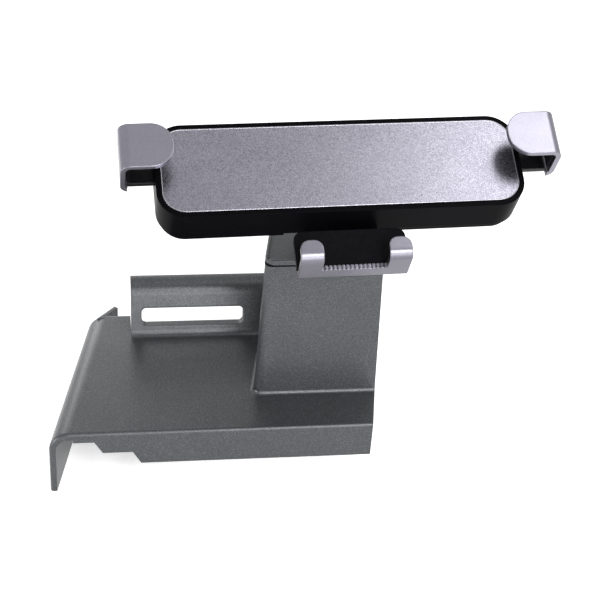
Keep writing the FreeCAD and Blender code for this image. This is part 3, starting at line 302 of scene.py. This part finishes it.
def hook_aluminium(along):
    """Satin aluminium, dipped black on the leaf that slides into the housing."""
    finish = Finish("hook_aluminium")
    leaf = finish.along(BALL, along, HOOK_BARE[0], HOOK_BARE[1])
    low = finish.along(BALL, CLAMP_OUT, LEAF_LEVEL[0], LEAF_LEVEL[1])
    bare = finish.tree.nodes.new("ShaderNodeMath")
    bare.operation = "MAXIMUM"
    finish.tree.links.new(leaf, bare.inputs[0])
    finish.tree.links.new(low, bare.inputs[1])
    dip = finish.ramp(finish.noise(0.001, 3), [
        (0.3, (0.0028, 0.0028, 0.0035)), (0.7, (0.005, 0.005, 0.006))])
    node = finish.tree.nodes.new("ShaderNodeMix")
    node.data_type = "RGBA"
    finish.tree.links.new(bare.outputs["Value"], node.inputs["Factor"])
    finish.tree.links.new(dip, node.inputs["A"])
    finish.tree.links.new(aluminium_grain(finish, 1.05, 0.16), node.inputs["B"])
    finish.link(node.outputs["Result"], "Base Color")
    finish.link(bare.outputs["Value"], "Metallic")
    finish.link(finish.span(finish.cells(0.0003), 0.30, 0.35), "Roughness")
    finish.bump(finish.noise(0.0003, 2, 0.7), 0.00002, 0.2, 0.0006)
    finish.set(Specular_IOR_Level=0.2)
    return finish.material


def polished_aluminium():
    """Bright turned edge of the face plate, with fine marks along it."""
    finish = Finish("polished_aluminium")
    finish.link(finish.ramp(finish.noise(0.0008, 3), [
        (0.3, (0.24, 0.235, 0.265)), (0.7, (0.32, 0.315, 0.345))]), "Base Color")
    finish.link(finish.span(finish.noise(0.001, 2), 0.34, 0.42), "Roughness")
    finish.bump(finish.noise(0.0003, 2), 0.00001, 0.3, 0.0001)
    finish.set(Metallic=1.0)
    return finish.material


def plated_steel():
    """Zinc plated steel with faint turning marks."""
    finish = Finish("plated_steel")
    finish.link(finish.ramp(finish.noise(0.002, 4), [(0.3, (0.42, 0.42, 0.43)), (0.7, (0.58, 0.58, 0.58))]),
                "Base Color")
    finish.link(finish.span(finish.noise(0.0006, 3, stretch=(1, 1, 4)), 0.18, 0.36), "Roughness")
    finish.bump(finish.noise(0.0004, 2, stretch=(1, 1, 6)), 0.00002, 0.4, 0.0003)
    finish.set(Metallic=1.0)
    return finish.material


def natural_acetal():
    """Off-white acetal with a slight waxy mottle."""
    finish = Finish("natural_acetal")
    finish.link(finish.ramp(finish.noise(0.003, 3), [(0.3, (0.70, 0.69, 0.65)), (0.7, (0.80, 0.79, 0.75))]),
                "Base Color")
    finish.link(finish.span(finish.noise(0.002, 3), 0.35, 0.5), "Roughness")
    finish.bump(finish.noise(0.0005, 2), 0.00002, 0.3, 0.0003)
    finish.set(Subsurface_Weight=0.05)
    return finish.material


FINISHES = {
    "base_paint": metallic_paint(),
    "black_plastic": satin_black(),
    "rubber": soft_rubber(),
    "aluminium": blasted_aluminium(),
    "steel": plated_steel(),
    "acetal": natural_acetal(),
}
OWN_FINISHES = {
    "left_arm_hook": hook_aluminium(-CLAMP_ALONG),
    "right_arm_hook": hook_aluminium(CLAMP_ALONG),
    "foot_bracket": satin_aluminium(),
}
for part in frame["record"]["subparts"]:
    mesh = frame["nodes"][part["node"]].data
    mesh.materials.clear()
    mesh.materials.append(OWN_FINISHES.get(part["node"], FINISHES[part["material_slot"]]))


# Fine pieces
def surface(name, points, finish, body):
    """A mesh over a grid of points (rows, columns, 3) that rides on a body."""
    rows, columns = points.shape[:2]
    index = np.arange(rows * columns).reshape(rows, columns)
    faces = np.stack([index[:-1, :-1], index[1:, :-1], index[1:, 1:], index[:-1, 1:]], axis=-1).reshape(-1, 4)
    mesh = bpy.data.meshes.new(name)
    mesh.from_pydata(points.reshape(-1, 3).tolist(), [], faces.tolist())
    mesh.shade_smooth()
    mesh.materials.append(finish)
    piece = bpy.data.objects.new(name, mesh)
    bpy.context.scene.collection.objects.link(piece)
    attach(piece, body)


def clamp_points(along, up, out):
    """Points of the clamp's frame, in metres from the ball's centre, in the shared frame."""
    return (np.array(BALL) + along[..., None] * np.array(CLAMP_ALONG) + up[..., None] * np.array(CLAMP_UP)
            + out[..., None] * np.array(CLAMP_OUT))


def post_path(inset):
    """Points and outward directions down the post's left side, round its corner and along its front,
    in the unskewed plan, drawn in by the inset."""
    turn = np.linspace(0, QUARTER, BEND_STEPS)[1:-1]
    low = POST_FRONT + inset
    left = POST_LEFT + inset
    down = np.linspace(POST_BACK - inset - CORNER, low + CORNER, SIDE_STEPS)
    right = np.linspace(left + CORNER, POST_RIGHT - inset, FRONT_STEPS)
    side = np.stack([np.full(SIDE_STEPS, left), down], axis=1)
    bend = np.stack([left + CORNER * (1 - np.cos(turn)), low + CORNER * (1 - np.sin(turn))], axis=1)
    front = np.stack([right, np.full(FRONT_STEPS, low)], axis=1)
    ways = [np.tile([-1.0, 0.0], (SIDE_STEPS, 1)), np.stack([-np.cos(turn), -np.sin(turn)], axis=1),
            np.tile([0.0, -1.0], (FRONT_STEPS, 1))]
    return np.concatenate([side, bend, front]), np.concatenate(ways)


def post_strip(name, inset, away, rise, finish):
    """A profile, given by its distances from the wall and its heights, carried along the post's path."""
    path, ways = post_path(inset)
    plan = path[:, None, :] + ways[:, None, :] * away[None, :, None]
    level = np.broadcast_to(rise, plan.shape[:2])
    across = plan[..., 0] + PLAN_SKEW * plan[..., 1]
    surface(name, np.stack([across, plan[..., 1], level], axis=-1), finish, "base")


def make_post_cove():
    """Cove around the post's foot: a quarter of a circle that leaves the wall upright and meets
    the plate flat."""
    angle = np.linspace(0, QUARTER, PROFILE_STEPS)
    away = COVE * (1 - np.cos(angle)) - WALL_BITE
    rise = PLATE_TOP + COVE * (1 - np.sin(angle))
    post_strip("post_cove", 0, away, rise, FINISHES["base_paint"])


def make_lid_painted_shadow_line():
    """Painted shadow line between the post and its lid: a black strip that stands in for the shade in the
    gap, half an ellipse, four times as high as it is deep, carried along the post's path."""
    angle = np.linspace(0, math.pi, PROFILE_STEPS)
    away = SHADOW_LINE_DEPTH * np.sin(angle) - WALL_BITE / 2
    rise = LID_FOOT + 2 * SHADOW_LINE_DEPTH * np.cos(angle)
    post_strip("lid_painted_shadow_line", POST_DRAFT, away, rise, FINISHES["rubber"])


def bar(across, along):
    """1 inside a bar, falling to 0 over its sloped sides and ends."""
    sides = np.clip((BAR_HALF_WIDTH - np.abs(across)) / BAR_SLOPE, 0, 1)
    return sides * np.clip((BAR_HALF_LENGTH - np.abs(along)) / BAR_SLOPE, 0, 1)


def make_screw_crown(name, along, up):
    """Crown of a cover screw: a shallow dome over its radius, less a cross of two bars with sloped
    sides, whose depth is taken off the dome where either bar lies."""
    radius, angle = np.meshgrid(np.linspace(0, CROWN, 25), np.linspace(0, FULL_TURN, 73), indexing="ij")
    x = radius * np.cos(angle)
    y = radius * np.sin(angle)
    cross = np.maximum(bar(x, y), bar(y, x))
    dome = CROWN_RISE * np.sqrt(np.clip(1 - (radius / CROWN) ** 2, 0, 1)) * (1 - BAR_DEPTH * cross)
    points = clamp_points(along + x, up + y, COVER_REAR + CROWN_BITE - dome)
    surface(name, points, FINISHES["steel"], "clamp")


def make_face_bead():
    """Bright rolled edge of the face plate: a flat arch of small height carried around a
    rectangle with round corners, given by its distance out from a smaller rectangle's corners."""
    turn = np.linspace(0, FULL_TURN, BEAD_STEPS, endpoint=False)
    corner_x = np.sign(np.cos(turn + QUADRANT_NUDGE)) * (FACE_HALF[0] - FACE_CORNER)
    corner_y = np.sign(np.sin(turn + QUADRANT_NUDGE)) * (FACE_HALF[1] - FACE_CORNER)
    turn, corner_x, corner_y = (np.append(line, line[:1]) for line in (turn, corner_x, corner_y))
    across = np.linspace(0, 1, 7)
    radius = FACE_CORNER - BEAD_WIDTH * (1 - across)
    along = corner_x[:, None] + np.cos(turn)[:, None] * radius
    up = corner_y[:, None] + np.sin(turn)[:, None] * radius
    out = np.broadcast_to(FACE_RISE + BEAD_HEIGHT * (np.sin(math.pi * across) - BEAD_SINK), along.shape)
    surface("face_bead", clamp_points(along, up, out), polished_aluminium(), "clamp")


def make_liner_ribs(side, sign):
    """Ribbed skin of a hook's liner: a sheet whose height over the liner is a row of rounded
    waves up the face, fading out to nothing at its four edges."""
    wave = np.linspace(0, 1, RIB_STEPS)
    out = np.linspace(*RIB_REACH, REACH_STEPS)
    share = np.linspace(0, 1, REACH_STEPS)
    fade = np.minimum(1, REACH_FADE * np.minimum(share, 1 - share))
    ends = np.minimum(1, SPAN_FADE * np.minimum(wave, 1 - wave))
    waves = (1 - np.cos(FULL_TURN * RIBS * wave)) / 2
    height = RIB_HEIGHT * (waves * ends)[:, None] * fade[None, :]
    up = np.broadcast_to((HOOK_LEVEL + (wave - 0.5) * RIB_SPAN)[:, None], height.shape)
    along = sign * (LINER_FACE + LINER_BITE - height)
    level = np.broadcast_to(out[None, :], height.shape)
    surface(side + "_liner_ribs", clamp_points(along, up, level), FINISHES["rubber"], side + "_arm")


make_post_cove()
# Black strip painted as the shadow line where the lid meets the post
make_lid_painted_shadow_line()
make_face_bead()
for corner, (along, up) in enumerate(((-1, -1), (-1, 1), (1, -1), (1, 1)), start=1):
    make_screw_crown(f"screw_crown_{corner}", along * SCREWS[0], up * SCREWS[1])
make_liner_ribs("left", -1)
make_liner_ribs("right", 1)


# Studio
def seen_rays(tree):
    """1 for rays from the camera, from reflections and through glass, and 0 for light on the object."""
    path = tree.nodes.new("ShaderNodeLightPath")
    either = path.outputs["Is Camera Ray"]
    for ray in ("Is Glossy Ray", "Is Transmission Ray"):
        both = tree.nodes.new("ShaderNodeMath")
        both.operation = "MAXIMUM"
        tree.links.new(either, both.inputs[0])
        tree.links.new(path.outputs[ray], both.inputs[1])
        either = both.outputs["Value"]
    return either


def make_floor():
    """A pale floor just under the object, lifted to white for the camera except in the shade."""
    low = CAD_BOX[0][2] - FLOOR_GAP
    mesh = bpy.data.meshes.new("studio_floor")
    corners = [(x * FLOOR_REACH, y * FLOOR_REACH, low) for x, y in ((-1, -1), (1, -1), (1, 1), (-1, 1))]
    mesh.from_pydata(corners, [], [(0, 1, 2, 3)])
    floor = bpy.data.objects.new("studio_floor", mesh)
    bpy.context.scene.collection.objects.link(floor)
    material = bpy.data.materials.new("studio_floor")
    material.use_nodes = True
    shader = material.node_tree.nodes["Principled BSDF"]
    shader.inputs["Base Color"].default_value = (0.92, 0.92, 0.92, 1)
    shader.inputs["Roughness"].default_value = 0.9
    shader.inputs["Emission Color"].default_value = (1, 1, 1, 1)
    lift = material.node_tree.nodes.new("ShaderNodeMath")
    lift.operation = "MULTIPLY"
    lift.inputs[1].default_value = FLOOR_LIFT
    material.node_tree.links.new(seen_rays(material.node_tree), lift.inputs[0])
    material.node_tree.links.new(lift.outputs["Value"], shader.inputs["Emission Strength"])
    mesh.materials.append(material)


def make_world():
    """White to the camera and in reflections, softer as light on the object."""
    world = bpy.data.worlds.new("studio")
    bpy.context.scene.world = world
    world.use_nodes = True
    nodes = world.node_tree.nodes
    links = world.node_tree.links
    nodes.clear()
    output = nodes.new("ShaderNodeOutputWorld")
    background = nodes.new("ShaderNodeBackground")
    background.inputs["Color"].default_value = (1, 1, 1, 1)
    seen = nodes.new("ShaderNodeMapRange")
    seen.inputs["To Min"].default_value = SKY_LIGHT
    seen.inputs["To Max"].default_value = SKY_SEEN
    links.new(seen_rays(world.node_tree), seen.inputs["Value"])
    links.new(seen.outputs["Result"], background.inputs["Strength"])
    links.new(background.outputs["Background"], output.inputs["Surface"])


def make_lamp(name, place, aim, size, power):
    """A square area lamp that looks at a point."""
    data = bpy.data.lights.new(name, "AREA")
    data.shape = "SQUARE"
    data.size = size
    data.energy = power
    lamp = bpy.data.objects.new(name, data)
    lamp.location = place
    lamp.rotation_euler = (Vector(aim) - Vector(place)).to_track_quat("-Z", "Y").to_euler()
    bpy.context.scene.collection.objects.link(lamp)


def make_camera():
    """The photograph's camera: its right, down and view directions from yaw, elevation and roll."""
    view = Vector((math.sin(CAMERA_YAW) * math.cos(CAMERA_ELEVATION),
                   math.cos(CAMERA_YAW) * math.cos(CAMERA_ELEVATION), -math.sin(CAMERA_ELEVATION)))
    level = Vector((math.cos(CAMERA_YAW), -math.sin(CAMERA_YAW), 0))
    plumb = view.cross(level)
    right = math.cos(CAMERA_ROLL) * level - math.sin(CAMERA_ROLL) * plumb
    down = math.sin(CAMERA_ROLL) * level + math.cos(CAMERA_ROLL) * plumb
    turn = Matrix((right, -down, -view)).transposed()
    data = bpy.data.cameras.new("photo_camera")
    data.sensor_width = SENSOR
    data.lens = SENSOR * FOCAL_PIXELS / FRAME_PIXELS
    data.clip_start = 0.01
    camera = bpy.data.objects.new("photo_camera", data)
    camera.matrix_world = Matrix.Translation(CAMERA_PLACE) @ turn.to_4x4()
    bpy.context.scene.collection.objects.link(camera)
    bpy.context.scene.camera = camera


make_floor()
make_world()
make_lamp("key_lamp", (0.25, -0.72, 0.60), (0.03, 0.0, 0.07), 0.3, 5.5)
make_lamp("front_lamp", (0.1, -1.0, 0.14), (0.03, 0.0, 0.04), 0.5, 5)
make_lamp("left_lamp", (-0.75, -0.35, 0.14), (0.0, 0.0, 0.05), 0.3, 4.5)
make_lamp("back_lamp", (-0.2, 0.9, 0.25), (0.0, 0.0, 0.08), 0.5, 3)
make_lamp("right_lamp", (0.40, -0.02, 0.75), (0.05, 0.0, 0.10), 0.35, 1.9)
make_camera()
bpy.context.scene.view_settings.view_transform = "Standard"
